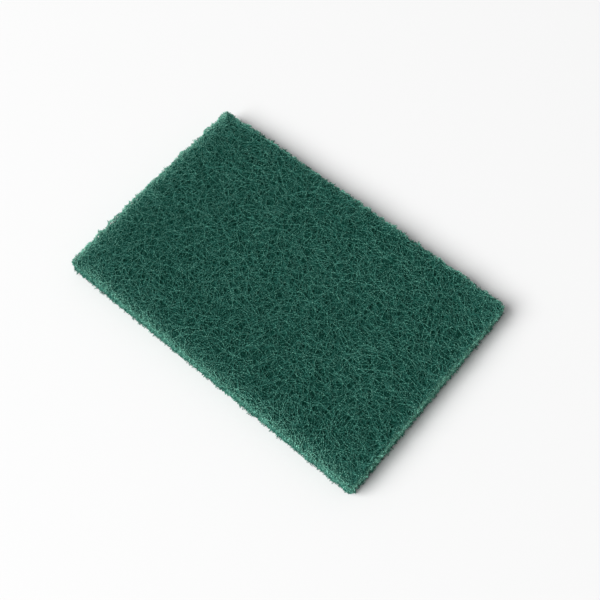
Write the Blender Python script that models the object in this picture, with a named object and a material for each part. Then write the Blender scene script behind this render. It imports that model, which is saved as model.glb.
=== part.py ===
"""Scouring pad: one rectangular hand pad of springy, nonwoven fibre web.

The pad lies flat on its underside. +X runs along its length, +Y across its
width and +Z up. The origin is the middle of the underside. Lengths are metres.
"""

import bmesh
import bpy
from mathutils import Vector

# Overall size, over the highest fibres
LENGTH = 0.150
WIDTH = 0.097
THICKNESS = 0.010

# Edges left by the die that stamps the pad out of a roll of web, and
# squeezes it a little, so that the top is lower toward the corners
CORNER_RADIUS = 0.0016
TOP_RIM_RADIUS = 0.0012
FOOT_RADIUS = 0.0006
CORNER_SAG = 0.0012

# The web is lofty, so its faces roll in and out, less on the cut sides than on top
TOP_RELIEF = 0.0016
SIDE_RELIEF = 0.0011
RELIEF_GRAIN = 0.0036
RELIEF_CONTRAST = 1.4
HIGHEST_NOISE = 0.8  # the noise value at the high spots, which reach the overall size

# Fineness of the modelled surface: cells between the rounded edges
CELLS_LONG = 74
CELLS_WIDE = 48
CELLS_HIGH = 4
CORNER_STEPS = 3
RIM_STEPS = 2

# Dyed nylon fibre in a matt resin, seen from a step away
WEB_GREEN = "27584C"
WEB_ROUGHNESS = 0.9

# Points this near a plane count as lying on it
ON_PLANE = 1e-6


def clear_scene():
    """Empties the scene, so that the script can run again in an open file."""
    for old in list(bpy.data.objects):
        bpy.data.objects.remove(old, do_unlink=True)


def linear(hex_colour):
    """Turns an sRGB hex colour into the linear RGBA that a shader takes."""
    channels = [int(hex_colour[i:i + 2], 16) / 255 for i in (0, 2, 4)]
    straight = [c / 12.92 if c <= 0.04045 else ((c + 0.055) / 1.055) ** 2.4 for c in channels]
    return (*straight, 1.0)


def round_edges(shape, edges, radius, steps):
    """Rounds the given edges with an arc of that radius."""
    bmesh.ops.bevel(
        shape,
        geom=edges,
        offset=radius,
        offset_type="OFFSET",
        affect="EDGES",
        segments=steps,
        profile=0.5,
        clamp_overlap=True,
        material=-1,
    )


def edges_at_height(shape, height):
    """The edges that lie in the level plane at that height."""
    return [e for e in shape.edges if all(abs(v.co.z - height) < ON_PLANE for v in e.verts)]


def rounded_slab():
    """A box of the pad's size, standing on the origin, with its edges rounded."""
    slab = bmesh.new()
    bmesh.ops.create_cube(slab, size=1.0)
    bmesh.ops.scale(slab, vec=(LENGTH, WIDTH, THICKNESS), verts=slab.verts)
    bmesh.ops.translate(slab, vec=(0, 0, THICKNESS / 2), verts=slab.verts)
    upright = [e for e in slab.edges if abs(e.verts[0].co.z - e.verts[1].co.z) > ON_PLANE]
    round_edges(slab, upright, CORNER_RADIUS, CORNER_STEPS)
    round_edges(slab, edges_at_height(slab, THICKNESS), TOP_RIM_RADIUS, RIM_STEPS)
    round_edges(slab, edges_at_height(slab, 0.0), FOOT_RADIUS, 1)
    return slab


def cut_cells(shape, normal, start, end, count):
    """Cuts the surface by evenly spaced planes from start to end, across normal."""
    across = Vector(normal)
    for i in range(count + 1):
        bmesh.ops.bisect_plane(
            shape,
            geom=shape.verts[:] + shape.edges[:] + shape.faces[:],
            dist=ON_PLANE,
            plane_co=across * (start + (end - start) * i / count),
            plane_no=across,
        )


def web_mesh():
    """The rounded slab, with its faces cut into cells small enough to roll."""
    slab = rounded_slab()
    half_long = LENGTH / 2 - CORNER_RADIUS
    half_wide = WIDTH / 2 - CORNER_RADIUS
    cut_cells(slab, (1, 0, 0), -half_long, half_long, CELLS_LONG)
    cut_cells(slab, (0, 1, 0), -half_wide, half_wide, CELLS_WIDE)
    cut_cells(slab, (0, 0, 1), FOOT_RADIUS, THICKNESS - TOP_RIM_RADIUS, CELLS_HIGH)
    mesh = bpy.data.meshes.new("scouring_pad")
    slab.to_mesh(mesh)
    slab.free()
    mesh.shade_smooth()
    return mesh


def web_material():
    """Dyed nylon fibres bonded with a matt, gritty resin."""
    material = bpy.data.materials.new("bonded_nylon_web")
    material.use_nodes = True
    shader = material.node_tree.nodes["Principled BSDF"]
    shader.inputs["Base Color"].default_value = linear(WEB_GREEN)
    shader.inputs["Roughness"].default_value = WEB_ROUGHNESS
    shader.inputs["Metallic"].default_value = 0.0
    return material


def roll_surface(pad):
    """Rolls the top and sides in and out. The underside stays flat to rest on."""
    loft = pad.vertex_groups.new(name="loft")
    for vertex in pad.data.vertices:
        if vertex.co.z > FOOT_RADIUS + ON_PLANE:
            on_top = vertex.co.z > THICKNESS - ON_PLANE
            loft.add([vertex.index], 1.0 if on_top else SIDE_RELIEF / TOP_RELIEF, "REPLACE")
    clouds = bpy.data.textures.new("web_relief", type="CLOUDS")
    clouds.noise_basis = "IMPROVED_PERLIN"
    clouds.noise_scale = RELIEF_GRAIN
    clouds.noise_depth = 1
    clouds.contrast = RELIEF_CONTRAST
    relief = pad.modifiers.new("relief", "DISPLACE")
    relief.texture = clouds
    relief.texture_coords = "LOCAL"
    relief.direction = "NORMAL"
    relief.vertex_group = loft.name
    relief.strength = TOP_RELIEF
    relief.mid_level = HIGHEST_NOISE


def press_corners(mesh):
    """Thins the pad toward its four corners. The underside stays flat."""
    for vertex in mesh.vertices:
        along = (vertex.co.x / (LENGTH / 2)) ** 2
        across = (vertex.co.y / (WIDTH / 2)) ** 2
        vertex.co.z *= 1 - CORNER_SAG / THICKNESS * along * across


def build():
    """Makes the pad, in a collection named for it."""
    clear_scene()
    collection = bpy.data.collections.new("scouring_pad")
    bpy.context.scene.collection.children.link(collection)
    pad = bpy.data.objects.new("scouring_pad", web_mesh())
    collection.objects.link(pad)
    pad.data.materials.append(web_material())
    roll_surface(pad)
    press_corners(pad.data)


build()
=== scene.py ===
# %% [markdown]
# # A scouring pad of nonwoven web
# The real pad is one rectangle stamped from a roll of web. The web is crimped nylon fibre, laid at
# random in thin layers and bonded where the fibres cross by a green resin that carries fine grit.
# Its look comes from thousands of fibres that lie over dark gaps, so a slab with a bumpy material
# would look like felt. This script keeps the solid of the CAD model as a dark core, and lays
# modelled fibres on it: three layers on top, one underneath, one round the sides, and the cut ends.

# %% Load the frame
import math
from collections import Counter, namedtuple

import bmesh
import bpy
import numpy as np
from mathutils import Matrix, Vector, noise
from mathutils.bvhtree import BVHTree


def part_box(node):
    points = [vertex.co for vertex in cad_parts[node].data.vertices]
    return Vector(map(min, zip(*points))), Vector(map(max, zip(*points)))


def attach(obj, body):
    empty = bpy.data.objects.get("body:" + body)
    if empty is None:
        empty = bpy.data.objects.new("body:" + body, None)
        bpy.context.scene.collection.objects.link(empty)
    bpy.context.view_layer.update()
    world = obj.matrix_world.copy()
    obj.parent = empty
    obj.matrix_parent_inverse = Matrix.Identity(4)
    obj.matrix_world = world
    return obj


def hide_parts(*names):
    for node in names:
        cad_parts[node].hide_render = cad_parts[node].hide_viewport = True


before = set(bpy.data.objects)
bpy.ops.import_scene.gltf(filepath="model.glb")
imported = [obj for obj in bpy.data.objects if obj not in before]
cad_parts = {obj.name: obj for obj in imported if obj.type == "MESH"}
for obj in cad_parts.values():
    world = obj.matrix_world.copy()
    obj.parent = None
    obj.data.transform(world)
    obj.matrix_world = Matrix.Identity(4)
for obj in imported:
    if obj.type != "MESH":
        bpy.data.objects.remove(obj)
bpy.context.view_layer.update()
MM = 0.001
low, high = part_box("scouring_pad")
print("CAD pad, mm:", [round(side / MM, 1) for side in high - low])

# %% [markdown]
# ## Two helpers
# Colours are written as sRGB hex, the way a picture editor shows them. A shader works with linear
# numbers, so one function turns the one into the other. A second function adds a shader node, and
# fills its inputs in their order or by name, which keeps a node tree as short as a formula.


# %% Colour and node helpers
def colour(hex_rgb):
    """Turns an sRGB hex colour into linear RGBA."""
    channels = [int(hex_rgb[i:i + 2], 16) / 255 for i in (0, 2, 4)]
    straight = [c / 12.92 if c <= 0.04045 else ((c + 0.055) / 1.055) ** 2.4 for c in channels]
    return (*straight, 1.0)


def add_node(tree, kind, *values, settings=None, **named):
    """Adds a node with its settings, and fills or links its inputs, in order or by name."""
    node = tree.nodes.new(kind)
    for name, value in (settings or {}).items():
        setattr(node, name, value)
    sockets = list(zip(node.inputs, values))
    sockets += [(node.inputs[name.replace("_", " ")], value) for name, value in named.items()]
    for socket, value in sockets:
        if isinstance(value, bpy.types.NodeSocket):
            tree.links.new(value, socket)
        else:
            socket.default_value = value
    return node


print("a web green in linear numbers:", [round(c, 3) for c in colour("27584C")])

# %% [markdown]
# ## The camera
# The photograph looks steeply down on the pad, across its near corner. The camera's place was
# found from the pad's four edges in the photograph: the way it looks, how far it stands and how it
# leans. It could be turned by hand until the edges agree, but an azimuth, an elevation and a
# distance say it in numbers that a reader can check against the picture.

# %% Camera
LOOK_AT = Vector((7.41, 1.22, 0.0)) * MM
CAMERA_AZIMUTH = math.radians(46.25)
CAMERA_ELEVATION = math.radians(65.13)
CAMERA_LEAN = math.radians(-6.35)
CAMERA_DISTANCE = 398.5 * MM
# Blender takes these two in millimetres
SENSOR_WIDTH = 36.0
FOCAL_LENGTH = 58.62


def make_camera():
    """Makes a camera that looks at a point from an azimuth, an elevation and a distance."""
    flat = math.cos(CAMERA_ELEVATION)
    back = Vector((
        math.sin(CAMERA_AZIMUTH) * flat,
        -math.cos(CAMERA_AZIMUTH) * flat,
        math.sin(CAMERA_ELEVATION),
    ))
    level = Vector((math.cos(CAMERA_AZIMUTH), math.sin(CAMERA_AZIMUTH), 0.0))
    upright = back.cross(level)
    right = level * math.cos(CAMERA_LEAN) + upright * math.sin(CAMERA_LEAN)
    place = Matrix((right, back.cross(right), back)).transposed().to_4x4()
    place.translation = LOOK_AT + back * CAMERA_DISTANCE
    data = bpy.data.cameras.new("photo_camera")
    data.sensor_width = SENSOR_WIDTH
    data.lens = FOCAL_LENGTH
    camera = bpy.data.objects.new("photo_camera", data)
    camera.matrix_world = place
    bpy.context.scene.collection.objects.link(camera)
    bpy.context.scene.camera = camera
    return camera


camera = make_camera()
print("camera at, mm:", [round(c / MM) for c in camera.matrix_world.translation])

# %% [markdown]
# ## The colours of the web
# Dyed nylon in a green resin has one colour, yet the photograph shows deep bottle green in the
# gaps, a greyer sea green on the fibres that lie on top, and a pale one where fibres are cut. Light
# that has passed from fibre to fibre comes out darker and purer. Each layer could have a material
# of its own, but they would be hard to keep alike. So every material of the pad reads one ramp of
# three greens, and a number from 0 to 1 says how light a spot is.

# %% Greens
# The deep green is painted shade of the web's depth. The pale end is reached on the cut sides and rims,
# partly by their own paler colour and partly by painted light.
DEEP_GREEN = "042A21"
THREAD_GREEN = "357366"
CUT_AND_LIT_GREEN = "A0ECD3"
# Where the thread's green lies between the other two, which are at 0 and 1
THREAD_PLACE = 0.45


def new_material(name, roughness, specular):
    """Makes a material, and returns it with its node tree and its shader."""
    material = bpy.data.materials.new(name)
    material.use_nodes = True
    shader = material.node_tree.nodes["Principled BSDF"]
    shader.inputs["Roughness"].default_value = roughness
    shader.inputs["Specular IOR Level"].default_value = specular
    return material, material.node_tree, shader


def web_green(tree, amount):
    """Adds the ramp from the deep green of the gaps, which is painted shade, to the pale one of the cut
    ends, which is partly painted light.
    """
    ramp = add_node(tree, "ShaderNodeValToRGB", amount)
    ramp.color_ramp.elements[0].color = colour(DEEP_GREEN)
    ramp.color_ramp.elements[1].color = colour(CUT_AND_LIT_GREEN)
    ramp.color_ramp.elements.new(THREAD_PLACE).color = colour(THREAD_GREEN)
    return ramp.outputs["Color"]


print("greens:", DEEP_GREEN, THREAD_GREEN, CUT_AND_LIT_GREEN)

# %% [markdown]
# ## The fibre's material
# Nylon fibre is glossy when it is spun, but the resin that bonds the web dries matt and full of fine grit,
# so the eye sees dull threads with small pale beads and hardly a highlight. The beads are partly the
# grit's own tone and partly painted glints. The fibres carry a UV map: across it runs the lightness of
# each point, and up it the distance along the fibre. The beads could be a noise in space, but one bead
# would then colour two fibres where they cross. They are a noise along the fibre instead, and follow it
# wherever it turns.

# %% Resin on nylon fibre
# Real grit lies closer together. Beads this far apart are the finest that the picture can show.
BEAD_AND_GLINT_SPACING = 0.5 * MM
BEAD_AND_GLINT_CONTRAST = 0.5
# Blender's noise seldom leaves this range
NOISE_RANGE = (0.3, 0.7)
# A piece's own map of this name can be baked through, so no second one is needed
FIBRE_MAP = "OFBake"
FIBRE_MAP_LENGTH = 30 * MM


def fibre_material():
    """Dyed nylon fibre in a dried, gritty resin: matt, with paler beads along each thread, partly painted
    glints.
    """
    material, tree, shader = new_material("resin_coated_nylon_fibre", roughness=0.75, specular=0.0)
    place = add_node(tree, "ShaderNodeUVMap", settings={"uv_map": FIBRE_MAP}).outputs["UV"]
    mapped = add_node(tree, "ShaderNodeSeparateXYZ", place)
    # Paler and darker beads along the fibre: the grit's own tone, with painted glints in the paler ones
    beads_and_glints = add_node(
        tree, "ShaderNodeTexNoise", settings={"noise_dimensions": "1D"},
        W=mapped.outputs["Y"], Scale=FIBRE_MAP_LENGTH / BEAD_AND_GLINT_SPACING, Detail=0.0,
    )
    swing = add_node(
        tree, "ShaderNodeMapRange", beads_and_glints.outputs["Fac"], From_Min=NOISE_RANGE[0],
        From_Max=NOISE_RANGE[1], To_Min=1 - BEAD_AND_GLINT_CONTRAST, To_Max=1 + BEAD_AND_GLINT_CONTRAST,
    )
    amount = add_node(
        tree, "ShaderNodeMath", mapped.outputs["X"], swing.outputs["Result"],
        settings={"operation": "MULTIPLY"},
    )
    tree.links.new(web_green(tree, amount.outputs["Value"]), shader.inputs["Base Color"])
    return material


fibre_finish = fibre_material()
print("beads every", round(BEAD_AND_GLINT_SPACING / MM, 2), "mm along a fibre")

# %% [markdown]
# ## The core's material
# Between the top fibres the eye sees down into the web: more fibres, out of focus in their own shade.
# Modelling them all would take millions, so the core paints them, dark with painted shade. The place where
# a soft noise passes through its middle value is a thin, winding line, and three such noises laid over
# each other look like crossing threads. A Voronoi pattern would close into cells, which a random web never
# does. The cut sides are paler, partly in their own colour and partly by painted light, and an attribute
# on the core says where.

# %% The depth of the web
THREAD_CURL = 1.4 * MM
THREAD_SEEDS = (0.0, 3.0, 7.0)
NOISE_MIDDLE = 0.5
# How far a thread reaches from that middle value, how light it is, and how light a cut side's gaps are,
# partly by painted light
THREAD_SHARE = 0.06
THREAD_LIGHT = 0.10
SIDE_LIGHT = 0.12
THREAD_RELIEF = 0.12 * MM
PALE_AND_LIT = "pale_and_lit"


def winding_threads(tree, place, seed):
    """The winding lines along which a noise is near its middle value, from 0 to 1."""
    field = add_node(
        tree, "ShaderNodeTexNoise", settings={"noise_dimensions": "4D"},
        Vector=place, W=seed, Scale=1 / THREAD_CURL, Detail=1.0,
    )
    offset = add_node(
        tree, "ShaderNodeMath", field.outputs["Fac"], NOISE_MIDDLE,
        settings={"operation": "SUBTRACT"},
    )
    away = add_node(tree, "ShaderNodeMath", offset.outputs["Value"], settings={"operation": "ABSOLUTE"})
    line = add_node(
        tree, "ShaderNodeMapRange", away.outputs["Value"],
        From_Max=THREAD_SHARE, To_Min=1.0, To_Max=0.0,
    )
    return line.outputs["Result"]


def core_material():
    """The shaded inside of the web: deep green gaps crossed by dim threads, matt all over."""
    material, tree, shader = new_material("resin_bonded_web_depth", roughness=0.9, specular=0.0)
    place = add_node(tree, "ShaderNodeTexCoord").outputs["Object"]
    threads = winding_threads(tree, place, THREAD_SEEDS[0])
    for seed in THREAD_SEEDS[1:]:
        both = add_node(
            tree, "ShaderNodeMath", threads, winding_threads(tree, place, seed),
            settings={"operation": "MAXIMUM"},
        )
        threads = both.outputs["Value"]
    pale_and_lit = add_node(tree, "ShaderNodeAttribute", settings={"attribute_name": PALE_AND_LIT}).outputs["Fac"]
    light = add_node(
        tree, "ShaderNodeMath", pale_and_lit, THREAD_LIGHT, THREAD_LIGHT,
        settings={"operation": "MULTIPLY_ADD"},
    )
    base = add_node(tree, "ShaderNodeMath", pale_and_lit, SIDE_LIGHT, settings={"operation": "MULTIPLY"})
    amount = add_node(
        tree, "ShaderNodeMath", threads, light.outputs["Value"], base.outputs["Value"],
        settings={"operation": "MULTIPLY_ADD"},
    )
    bump = add_node(tree, "ShaderNodeBump", Height=threads, Distance=THREAD_RELIEF)
    tree.links.new(bump.outputs["Normal"], shader.inputs["Normal"])
    tree.links.new(web_green(tree, amount.outputs["Value"]), shader.inputs["Base Color"])
    return material


core_finish = core_material()
print("painted threads curl about every", round(THREAD_CURL / MM, 1), "mm")

# %% [markdown]
# ## The four cuts
# A die stamps the pad out of the web. The sides that it leaves are paler than the top, because light gets
# in between the cut fibres, and they stand out in tufts. That paleness is partly their own colour and
# partly painted light, and where a side's foot is darker, that is painted shade. One paleness for all
# sides would be simpler, but in the photograph the left side is far paler and rougher than the right one.
# So each side has five numbers of its own, found by comparing renders with the photograph.

# %% Cut sides
# How pale the top is at its rim, how far in that fades, how pale the side is at its head and at its
# foot, and how far its tufts stand out
Cut = namedtuple("Cut", "rim fade head foot tufts")
# The left and front sides face the lamp and are painted paler. The right side's pale head is painted light
# that comes through the web's edge, and the darker feet of the right and front sides are painted shade by
# the table.
LEFT = Cut(rim=1.9, fade=2.5 * MM, head=1.5, foot=1.6, tufts=1.7)
RIGHT = Cut(rim=0.25, fade=0.7 * MM, head=2.9, foot=0.7, tufts=0.9)
FRONT = Cut(rim=1.25, fade=2.7 * MM, head=1.15, foot=0.35, tufts=0.4)
BACK = Cut(rim=1.0, fade=1.2 * MM, head=0.85, foot=0.85, tufts=1.5)
# How much the paleness multiplies a fibre's lightness, and how much it adds to it
PALE_GAIN = 0.4
PALE_LIFT = 0.16
# The rise of a face's normal where the rounded rim begins, and where the cut side is reached
RIM_TILT = 0.65
CUT_TILT = 0.25


def nearest_cut(point):
    """How far inside the nearest cut side a point lies, and that side."""
    sides = (
        (point.x - low.x, LEFT), (high.x - point.x, RIGHT),
        (point.y - low.y, FRONT), (high.y - point.y, BACK),
    )
    return min(sides)


def steepness(normal):
    """How much a face belongs to a cut side: 0 on top and underneath, 1 where it stands upright."""
    return min(max((RIM_TILT - abs(normal.z)) / (RIM_TILT - CUT_TILT), 0.0), 1.0)


def paleness_and_painted_light(point, normal):
    """How much paler than the rest a point is, partly by the cut and partly by painted light: most on the
    sides, fading in from the rim.
    """
    inward, cut = nearest_cut(point)
    height = (point.z - low.z) / (high.z - low.z)
    side = cut.foot + (cut.head - cut.foot) * height
    top = cut.rim * math.exp(-max(inward, 0.0) / cut.fade)
    return top + (side - top) * steepness(normal)


def lightened(shade, point, normal):
    """How light a fibre of that shade is at a point: the cut and painted light brighten it, and lift its
    darkest parts.
    """
    pale_and_lit = paleness_and_painted_light(point, normal)
    return shade * (1 + PALE_GAIN * pale_and_lit) + PALE_LIFT * pale_and_lit


UP = Vector((0, 0, 1))
left_rim = Vector((low.x, 0, high.z))
print("paleness at the left rim and in the middle of the top:",
      [round(paleness_and_painted_light(spot, UP), 2) for spot in (left_rim, high.z * UP)])

# %% [markdown]
# ## The shape of the core
# The core is the CAD solid, drawn in so that the fibres lie within the pad's real size. Its points
# could move inward along their normals, but at that depth a rounded corner folds over itself. So it
# is scaled about its middle instead, along each axis by the share that takes the wanted depth off
# it. The mesh comes as loose triangles, so it is merged first, and then cut finer, most of all at
# the sides. That gives two noises points to move: low clumps on the flat faces, and upright tufts
# on the cut sides, where the layers of the web end one over the other.

# %% Core shape
SKIN_DEPTH = 0.45 * MM
SIDE_DEPTH = 1.5 * MM
CLUMP_SIZE = 1.4 * MM
CLUMP_RELIEF = 0.14 * MM
TUFT_SIZE = 0.7 * MM
TUFT_HEIGHT = 2.4 * MM
TUFT_RELIEF = 1.0 * MM
MERGE_DISTANCE = 0.001 * MM


def cut_finer(web, edges):
    """Splits edges in half, and the faces between them."""
    bmesh.ops.subdivide_edges(web, edges=edges, cuts=1, use_grid_fill=True)
    web.normal_update()


def web_at_depth(side_depth):
    """Takes the CAD solid and draws it in, so far at its sides and by the skin's depth elsewhere."""
    web = bmesh.new()
    web.from_mesh(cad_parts["scouring_pad"].data)
    bmesh.ops.remove_doubles(web, verts=web.verts, dist=MERGE_DISTANCE)
    cut_finer(web, web.edges[:])
    cut_finer(web, [e for e in web.edges if all(steepness(f.normal) > 0 for f in e.link_faces)])
    pale_and_lit = web.verts.layers.float.new(PALE_AND_LIT)
    middle = (low + high) / 2
    depth = Vector((side_depth, side_depth, SKIN_DEPTH))
    shares = [1 - d / half for d, half in zip(depth, (high - low) / 2)]
    for vert in web.verts:
        vert[pale_and_lit] = paleness_and_painted_light(vert.co, vert.normal)
        vert.co = middle + Vector(c * share for c, share in zip(vert.co - middle, shares))
    web.normal_update()
    outward = [vert.normal.copy() for vert in web.verts]
    for vert, out in zip(web.verts, outward):
        clump = CLUMP_RELIEF * noise.noise(vert.co / CLUMP_SIZE)
        upright = Vector((vert.co.x / TUFT_SIZE, vert.co.y / TUFT_SIZE, vert.co.z / TUFT_HEIGHT))
        tuft = TUFT_RELIEF * nearest_cut(vert.co)[1].tufts * noise.noise(upright)
        vert.co += out * (clump + (tuft - clump) * steepness(out))
    web.normal_update()
    return web


print("depth of the core under the top and at its sides, mm:",
      round(SKIN_DEPTH / MM, 2), round(SIDE_DEPTH / MM, 2))

# %% [markdown]
# ## The underside of the core
# The flat underside comes as long triangles that reach right across the pad. The paleness of the cuts,
# with its painted light, is known only at their corners, which nearly all lie at the rim, so it would
# spread inward over much of the face. The mesh could be cut finer everywhere, but only the underside needs
# it. So planes a few millimetres apart cut that face alone, and the new points get their own paleness.

# %% Core
UNDERSIDE_CELL = 3.0 * MM


def faces_down(face):
    """Whether a face belongs to the flat underside."""
    return face.normal.z < -RIM_TILT


def cut_underside(web):
    """Cuts the underside into square cells, and works out how pale their corners are."""
    faces = [face for face in web.faces if faces_down(face)]
    edges = dict.fromkeys(edge for face in faces for edge in face.edges)
    verts = dict.fromkeys(vert for face in faces for vert in face.verts)
    part = [*faces, *edges, *verts]
    for across in (Vector((1, 0, 0)), Vector((0, 1, 0))):
        for k in range(1, int((high - low).dot(across) / UNDERSIDE_CELL)):
            cut = bmesh.ops.bisect_plane(
                web, geom=part, dist=MERGE_DISTANCE,
                plane_co=low + across * k * UNDERSIDE_CELL, plane_no=across,
            )
            part = cut["geom"]
    pale_and_lit = web.verts.layers.float[PALE_AND_LIT]
    for vert in web.verts:
        if all(faces_down(face) for face in vert.link_faces):
            vert[pale_and_lit] = paleness_and_painted_light(vert.co, -UP)


def make_core():
    """Makes the dark inside of the web."""
    web = web_at_depth(SIDE_DEPTH)
    cut_underside(web)
    mesh = bpy.data.meshes.new("web_core")
    web.to_mesh(mesh)
    web.free()
    mesh.shade_smooth()
    mesh.materials.clear()
    mesh.materials.append(core_finish)
    core = bpy.data.objects.new("web_core", mesh)
    bpy.context.scene.collection.objects.link(core)
    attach(core, "root")
    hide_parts("scouring_pad")
    return core


def triangles(mesh):
    """Counts the triangles of a mesh."""
    return sum(len(face.vertices) - 2 for face in mesh.polygons)


core = make_core()
print("core triangles:", triangles(core.data))

# %% [markdown]
# ## The skin that fibres follow
# A fibre needs a surface to lie on. It could be the core, but the core is drawn in deep at its
# sides, to leave room for the cut ends, and fibres there would lie too far inside. So a second copy
# of the solid, drawn in equally on every side, is the skin. It is never shown, and a BVH tree finds
# the spot on it that is nearest to a point.

# %% Skin
# How steeply up a normal points on the top, and how nearly level it is on the cut sides
TOP_TILT = 0.55
SIDE_TILT = 0.6


def above(normal):
    """Whether a face belongs to the top or the upper part of the rounded rim."""
    return normal.z > TOP_TILT


def below(normal):
    """Whether a face belongs to the underside."""
    return normal.z < -SIDE_TILT


def beside(normal):
    """Whether a face belongs to the cut sides or the rounded rim."""
    return abs(normal.z) < SIDE_TILT


skin_shape = web_at_depth(SKIN_DEPTH)
bmesh.ops.triangulate(skin_shape, faces=skin_shape.faces[:])
skin = BVHTree.FromBMesh(skin_shape)
print("skin triangles:", len(skin_shape.faces))

# %% [markdown]
# ## One fibre
# A carded nylon fibre is crimped like wool: it snakes from side to side every few millimetres, and it
# wanders. A particle hair system could lay such strands, but it leaves little say over where they dip.
# Here a fibre is a walk over the skin. Each step turns by a steady bend and by the crimp, is put back on
# the skin, and rises or sinks a little, so that fibres pass over and under each other. Both ends dip into
# the core. Where a fibre sinks with its lift, its colour is darker: painted shade of the depth. A walk
# ends early where it leaves its own part of the skin, or gets nowhere.

# %% Walk over the skin
# Real fibres are about 0.1 mm with their resin. They are drawn at twice that, which is
# half a pixel of the photograph, so that single threads still show.
FIBRE_RADIUS = 0.095 * MM
# A fibre's middle is never lower than this, so that none goes through the table
LOWEST = 0.12 * MM
STEP = 1.35 * MM
SHORTEST_STEP = 0.3 * MM
# Ranges that each fibre draws from: waves and lifts in mm, turns in radians, widths in shares
CRIMP_WAVE = (3.5, 7.0)
CRIMP_TURN = (0.05, 0.3)
LIFT = (0.06, 0.15)
LIFT_WAVE = (3.0, 7.0)
WIDTH = (0.75, 1.05)
# The spread of a fibre's steady turn at each step, in radians
BEND = 0.15
# The share of its slope that a fibre on the cut sides keeps at most
SIDE_SLOPE = 0.5
END_DIP = 0.15 * MM
# How much darker a fibre is painted where it sinks, and lighter where it rises: painted shade
PAINTED_SINK_SHADE = 0.12

Fibre = namedtuple("Fibre", "points shades width")


def lay_fibre(rng, start, normal, layer):
    """Walks over the skin from a point, and returns the fibre that it leaves."""
    heading = Matrix.Rotation(rng.uniform(0, math.tau), 3, normal) @ normal.orthogonal().normalized()
    if layer.facing is beside:
        heading.z *= rng.uniform(0, SIDE_SLOPE)
    bend = rng.normal(0, BEND)
    crimp = rng.uniform(*CRIMP_TURN)
    wave = rng.uniform(*CRIMP_WAVE) * MM
    phase = rng.uniform(0, math.tau)
    lift = rng.uniform(*LIFT) * MM
    lift_wave = rng.uniform(*LIFT_WAVE) * MM
    lift_phase = rng.uniform(0, math.tau)
    ride = rng.uniform(*layer.ride) * MM
    shade = rng.uniform(*layer.shade)
    here = start
    points, shades = [], []
    steps = int(rng.integers(*layer.steps))
    for k in range(steps):
        angle = phase + math.tau * k * STEP / wave
        turn = bend + crimp * math.tau * STEP / wave * math.cos(angle)
        heading = Matrix.Rotation(turn, 3, normal) @ heading
        spot, facing, _, _ = skin.find_nearest(here + heading * STEP)
        if not layer.facing(facing) or (spot - here).length < SHORTEST_STEP:
            break
        normal = facing
        heading = (heading - normal * heading.dot(normal)).normalized()
        here = spot
        swell = math.sin(lift_phase + math.tau * k * STEP / lift_wave)
        rise = -END_DIP if k in (0, steps - 1) else ride + lift * swell
        point = here + normal * rise
        point.z = max(point.z, LOWEST)
        points.append(point)
        # Painted shade where the fibre sinks, then the sides' paleness with its painted light
        shades.append(lightened(shade * (1 + PAINTED_SINK_SHADE * swell), point, normal))
    return Fibre(points, shades, rng.uniform(*WIDTH))


print("fibres are", round(2 * FIBRE_RADIUS / MM, 2), "mm thick, in steps of", round(STEP / MM, 2), "mm")

# %% [markdown]
# ## Layers of fibres
# A web is laid in thin sheets, so the pad gets its fibres in layers too: a dark, dense one that lies on
# the core, a middle one, and a raised one with paler threads. The layers grow lighter from the core up:
# painted shade, darkest in the depth where less light reaches. The fibres could start at random points and
# be done, but chance heaps some up and leaves bare spots, which shows as blotches that a carded web
# doesn't have. So each fibre is the best of a few tries: the one that crosses the emptiest part of its
# layer so far, counted in small cells and in larger ones. The sides get a layer of short fibres that run
# nearly level, as the die cuts them, and the underside gets one too, since a pad is used on both faces.

# %% Layers
# A layer has a seed, the number of points to lay, the part of the skin that it covers, the range of
# steps in a fibre, how high over the skin it rides in mm, and how light its fibres are
Layer = namedtuple("Layer", "name seed points facing steps ride shade")
LAYERS = (
    # The low layer is darkest and the raised one lightest: painted shade of the depth, over a random
    # spread of tone
    Layer("top_web_low", 1, 17000, above, (8, 16), (0.0, 0.15), (0.0, 0.06)),
    Layer("top_web_middle", 2, 28000, above, (7, 14), (0.15, 0.35), (0.25, 0.35)),
    Layer("top_web_raised", 3, 32400, above, (7, 14), (0.35, 0.60), (0.37, 0.48)),
    Layer("side_web", 4, 25000, beside, (4, 7), (-1.2, -0.1), (0.15, 0.34)),
    Layer("underside_web", 5, 24000, below, (8, 18), (0.1, 0.30), (0.10, 0.45)),
)
TRIES = 8
CROWD_CELLS = (0.7 * MM, 2.8 * MM)
# A walk that ends with fewer points than this is left out
FEWEST_POINTS = 3


def scatter(rng, count, facing):
    """Gives random points on a part of the skin with their normals, spread evenly by area."""
    faces = [face for face in skin_shape.faces if facing(face.normal)]
    areas = np.array([face.calc_area() for face in faces])
    spread = (np.arange(count) + rng.uniform(size=count)) / count
    picks = np.searchsorted(np.cumsum(areas) / areas.sum(), spread)
    for pick in rng.permutation(picks):
        a, b, c = (vert.co for vert in faces[pick].verts)
        u, v = rng.uniform(size=2)
        if u + v > 1:
            u, v = 1 - u, 1 - v
        yield a + (b - a) * u + (c - a) * v, faces[pick].normal.copy()


def cells(fibre):
    """The small and the larger cells of space that a fibre's points lie in."""
    return [(size, *(int(c // size) for c in point)) for size in CROWD_CELLS for point in fibre.points]


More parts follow.
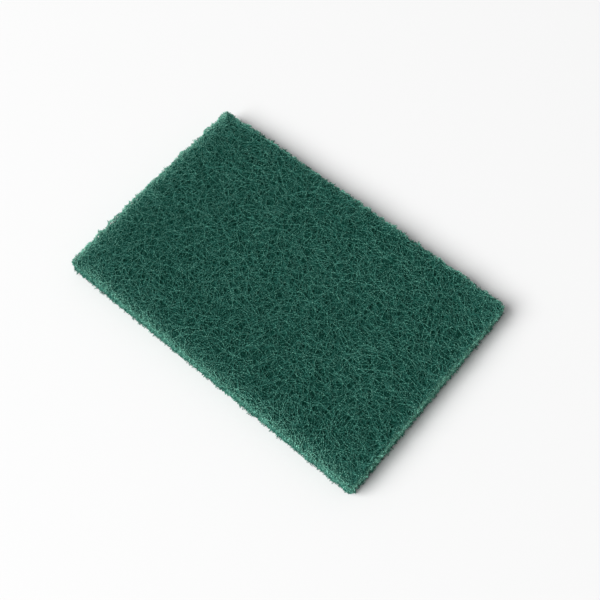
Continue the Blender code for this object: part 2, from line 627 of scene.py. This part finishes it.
def fibres_of(layer):
    """Lays fibres until a layer has its number of points, each where the web is thinnest so far."""
    rng = np.random.default_rng(layer.seed)
    starts = scatter(rng, TRIES * layer.points, layer.facing)
    crowd = Counter()
    fibres = []
    laid = 0
    while laid < layer.points:
        tries = [lay_fibre(rng, *next(starts), layer) for _ in range(TRIES)]
        whole = [fibre for fibre in tries if len(fibre.points) >= FEWEST_POINTS]
        if whole:
            best = min(whole, key=lambda fibre: np.mean([crowd[cell] for cell in cells(fibre)]))
            fibres.append(best)
            crowd.update(cells(best))
            laid += len(best.points)
    return fibres


webs = {layer.name: fibres_of(layer) for layer in LAYERS}
print("fibres laid:", {name: len(fibres) for name, fibres in webs.items()})

# %% [markdown]
# ## From lines to threads
# Each fibre becomes a thin closed tube. A tube could be extruded step by step with bmesh, but a
# curve object does it faster: all fibres of a layer are splines of one curve, which takes a
# three-sided profile and caps. The curve is then made a mesh, and its caps are merged with the
# walls. Three sides are enough for a thread half a pixel wide, and they keep the count low.

# %% Tubes
FIBRE_SIDES = 3


def fibre_profile():
    """Makes the cross-section of a fibre: a triangle, the fewest sides that close a tube."""
    ring = bpy.data.curves.new("fibre_profile", "CURVE")
    ring.dimensions = "2D"
    spline = ring.splines.new("POLY")
    spline.points.add(FIBRE_SIDES - 1)
    for k, point in enumerate(spline.points):
        turn = math.tau * k / FIBRE_SIDES
        point.co = (FIBRE_RADIUS * math.cos(turn), FIBRE_RADIUS * math.sin(turn), 0, 1)
    spline.use_cyclic_u = True
    profile = bpy.data.objects.new("fibre_profile", ring)
    bpy.context.scene.collection.objects.link(profile)
    return profile


def fibre_curve(name, fibres, profile):
    """Makes one curve object with a spline for each fibre, as wide as the fibre is."""
    curve = bpy.data.curves.new(name, "CURVE")
    curve.dimensions = "3D"
    curve.bevel_mode = "OBJECT"
    curve.bevel_object = profile
    curve.use_fill_caps = True
    for fibre in fibres:
        spline = curve.splines.new("POLY")
        spline.points.add(len(fibre.points) - 1)
        places = np.ones((len(fibre.points), 4), np.float32)
        places[:, :3] = fibre.points
        spline.points.foreach_set("co", places.ravel())
        spline.points.foreach_set("radius", np.full(len(fibre.points), fibre.width, np.float32))
    holder = bpy.data.objects.new(name + "_curve", curve)
    bpy.context.scene.collection.objects.link(holder)
    return holder


def tubes(name, fibres):
    """Makes one mesh of closed tubes along the fibres."""
    profile = fibre_profile()
    holder = fibre_curve(name, fibres, profile)
    ready = holder.evaluated_get(bpy.context.evaluated_depsgraph_get())
    mesh = bpy.data.meshes.new_from_object(ready)
    for old in (holder, profile):
        bpy.data.objects.remove(old)
    shape = bmesh.new()
    shape.from_mesh(mesh)
    bmesh.ops.remove_doubles(shape, verts=shape.verts, dist=MERGE_DISTANCE)
    shape.to_mesh(mesh)
    shape.free()
    mesh.name = name
    mesh.shade_smooth()
    return mesh


print("a fibre has", FIBRE_SIDES, "sides")

# %% [markdown]
# ## The lightness of each thread
# The tubes come with a UV map that says how far along its spline each corner lies. The script looks
# up which point of the fibre that is, and writes the point's lightness and its distance along the
# fibre into the map instead. A colour attribute could hold the lightness alone, but the beads need
# the distance too, and one map holds both. Every fibre starts at another distance, so that the
# beads of neighbours don't line up.

# %% Weave
# The faces round a thread lie this far apart on the map, which stays this far inside its border
AROUND_SHARE = 0.02
MAP_MARGIN = 0.02
START_RANGE = 0.3
# Multiples of the golden ratio's fraction never bunch up, so neighbours start far apart
GOLDEN_FRACTION = 0.618


def map_shades(mesh, fibres):
    """Turns the tubes' UV map into lightness across and distance along the fibre."""
    counts = np.array([len(fibre.points) for fibre in fibres])
    first = np.concatenate([[0], np.cumsum(counts)[:-1]])
    shades = np.concatenate([fibre.shades for fibre in fibres])
    owners = np.arange(len(fibres))
    # The mesh has two caps for each fibre first, and then the walls
    owner = np.concatenate([np.repeat(owners, 2), np.repeat(owners, FIBRE_SIDES * (counts - 1))])
    corners = np.empty(len(mesh.polygons), np.int32)
    mesh.polygons.foreach_get("loop_total", corners)
    owner = np.repeat(owner, corners)
    layer = mesh.uv_layers[0]
    layer.name = FIBRE_MAP
    uv = np.empty(len(mesh.loops) * 2, np.float32)
    layer.uv.foreach_get("vector", uv)
    along, around = uv.reshape(-1, 2).T
    step = np.clip(np.rint(along * (counts[owner] - 1)), 0, counts[owner] - 1).astype(int)
    shade = np.clip(shades[first[owner] + step], MAP_MARGIN, 1 - MAP_MARGIN - AROUND_SHARE)
    start = START_RANGE * (owner * GOLDEN_FRACTION % 1)
    placed = np.stack([shade + AROUND_SHARE * around, start + step * STEP / FIBRE_MAP_LENGTH], axis=1)
    layer.uv.foreach_set("vector", placed.astype(np.float32).ravel())
    return shade


def weave(name, fibres):
    """Makes one piece of the pad from a list of fibres."""
    mesh = tubes(name, fibres)
    shade = map_shades(mesh, fibres)
    mesh.materials.clear()
    mesh.materials.append(fibre_finish)
    piece = bpy.data.objects.new(name, mesh)
    bpy.context.scene.collection.objects.link(piece)
    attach(piece, "root")
    made = f"{len(fibres)} fibres, {triangles(mesh)} triangles"
    print(f"{name}: {made}, mean shade {shade.mean():.2f}")


for name, fibres in webs.items():
    weave(name, fibres)

# %% [markdown]
# ## The cut ends
# Where the die went through, fibres spring out of the side and curl back in, which makes the pad's
# outline fuzzy. A rough bump would leave the outline straight, and straight stubs look like the
# bristles of a brush. So each one is a loop of four points: a foot in the web, two tips that lean
# out of the side in any direction, and a second foot. Most are short, and a few stand out.

# %% Cut ends
LOOP_COUNT = 9800
LOOP_SEED = 6
# Ranges in mm: how deep a loop's feet stand, how far it reaches out and how wide it is
LOOP_ROOT = (0.0, 1.0)
LOOP_REACH = (0.4, 1.2)
LOOP_SPAN = (0.4, 1.0)
# A power over 1 makes most loops short
LOOP_RARITY = 2.0
LOOP_LEAN = 0.6
# The tips lie this share of the span apart, at these shares of the reach
LOOP_TOP = 0.5
LOOP_TIPS = (0.7, 1.0)
LOOP_SHADE = (0.15, 0.38)
LOOP_WIDTH = 1.15
BOTH_WAYS = (-0.5, 0.5)


def cut_loop(rng, start, normal):
    """Makes one short fibre that springs out of a side and curls back into it."""
    shortest, longest = LOOP_REACH
    reach = (shortest + (longest - shortest) * rng.uniform() ** LOOP_RARITY) * MM
    way = (normal + Vector(rng.normal(size=3)) * LOOP_LEAN).normalized()
    across = normal.cross(Vector(rng.normal(size=3))).normalized() * rng.uniform(*LOOP_SPAN) * MM
    feet = [start - normal * rng.uniform(*LOOP_ROOT) * MM + across * side for side in BOTH_WAYS]
    tips = [start + way * reach * rng.uniform(*LOOP_TIPS) + across * LOOP_TOP * side for side in BOTH_WAYS]
    points = [feet[0], *tips, feet[1]]
    for point in points:
        point.z = max(point.z, LOWEST)
    shade = rng.uniform(*LOOP_SHADE)
    return Fibre(points, [lightened(shade, point, normal) for point in points], LOOP_WIDTH)


loop_rng = np.random.default_rng(LOOP_SEED)
weave("cut_ends", [cut_loop(loop_rng, *place) for place in scatter(loop_rng, LOOP_COUNT, beside)])
skin_shape.free()

# %% [markdown]
# ## The table
# The pad lies on a plain white table without a visible edge. A curved backdrop would hide the edge
# from every side, but the camera looks down, so one square of matt white is enough. It is large
# enough to reach past the view and to throw light back up at the pad's sides.

# %% Floor
# Metres from the middle of the table to its edge
FLOOR_HALF = 2.0
FLOOR_WHITE = "E7E7E7"


def make_floor():
    """Makes the table under the pad, of matt white board with hardly a sheen."""
    shape = bmesh.new()
    bmesh.ops.create_grid(shape, x_segments=1, y_segments=1, size=FLOOR_HALF)
    mesh = bpy.data.meshes.new("floor")
    shape.to_mesh(mesh)
    shape.free()
    material, tree, shader = new_material("matt_white_table", roughness=0.8, specular=0.2)
    shader.inputs["Base Color"].default_value = colour(FLOOR_WHITE)
    mesh.materials.append(material)
    floor = bpy.data.objects.new("floor", mesh)
    bpy.context.scene.collection.objects.link(floor)


make_floor()
print("table half side, m:", FLOOR_HALF)

# %% [markdown]
# ## The light
# The photograph has one large soft light to the left of the camera. Its shadow is dark where the
# pad meets the table on the right, and fades out within about a pad's thickness and a half. A sun
# lamp would need a wide angle for that and would light the whole table alike. A wide area light
# gives the same fade, and an even pale sky fills in the rest.

# %% Key light and sky
KEY_TURN = math.radians(15.0)
KEY_ELEVATION = math.radians(44.5)
# Metres, metres and watts
KEY_DISTANCE = 8.0
KEY_SIZE = 5.9
KEY_POWER = 960.0
SKY_WHITE = "FFFFFF"
SKY_STRENGTH = 0.30


def key_direction():
    """The way from the pad to the key light, off the camera's left and turned toward it."""
    left = Vector((-math.cos(CAMERA_AZIMUTH), -math.sin(CAMERA_AZIMUTH), 0.0))
    nearer = Vector((math.sin(CAMERA_AZIMUTH), -math.cos(CAMERA_AZIMUTH), 0.0))
    level = left * math.cos(KEY_TURN) + nearer * math.sin(KEY_TURN)
    return level * math.cos(KEY_ELEVATION) + Vector((0.0, 0.0, math.sin(KEY_ELEVATION)))


def make_light():
    """Makes the soft key light and the pale sky."""
    data = bpy.data.lights.new("key", "AREA")
    data.size = KEY_SIZE
    data.energy = KEY_POWER
    key = bpy.data.objects.new("key", data)
    key.location = key_direction() * KEY_DISTANCE
    key.rotation_euler = key_direction().to_track_quat("Z", "Y").to_euler()
    bpy.context.scene.collection.objects.link(key)
    sky = bpy.data.worlds.new("studio")
    sky.use_nodes = True
    sky.node_tree.nodes["Background"].inputs["Color"].default_value = colour(SKY_WHITE)
    sky.node_tree.nodes["Background"].inputs["Strength"].default_value = SKY_STRENGTH
    bpy.context.scene.world = sky
    bpy.context.scene.view_settings.view_transform = "Standard"


make_light()
print("key light toward:", [round(c, 2) for c in key_direction()])
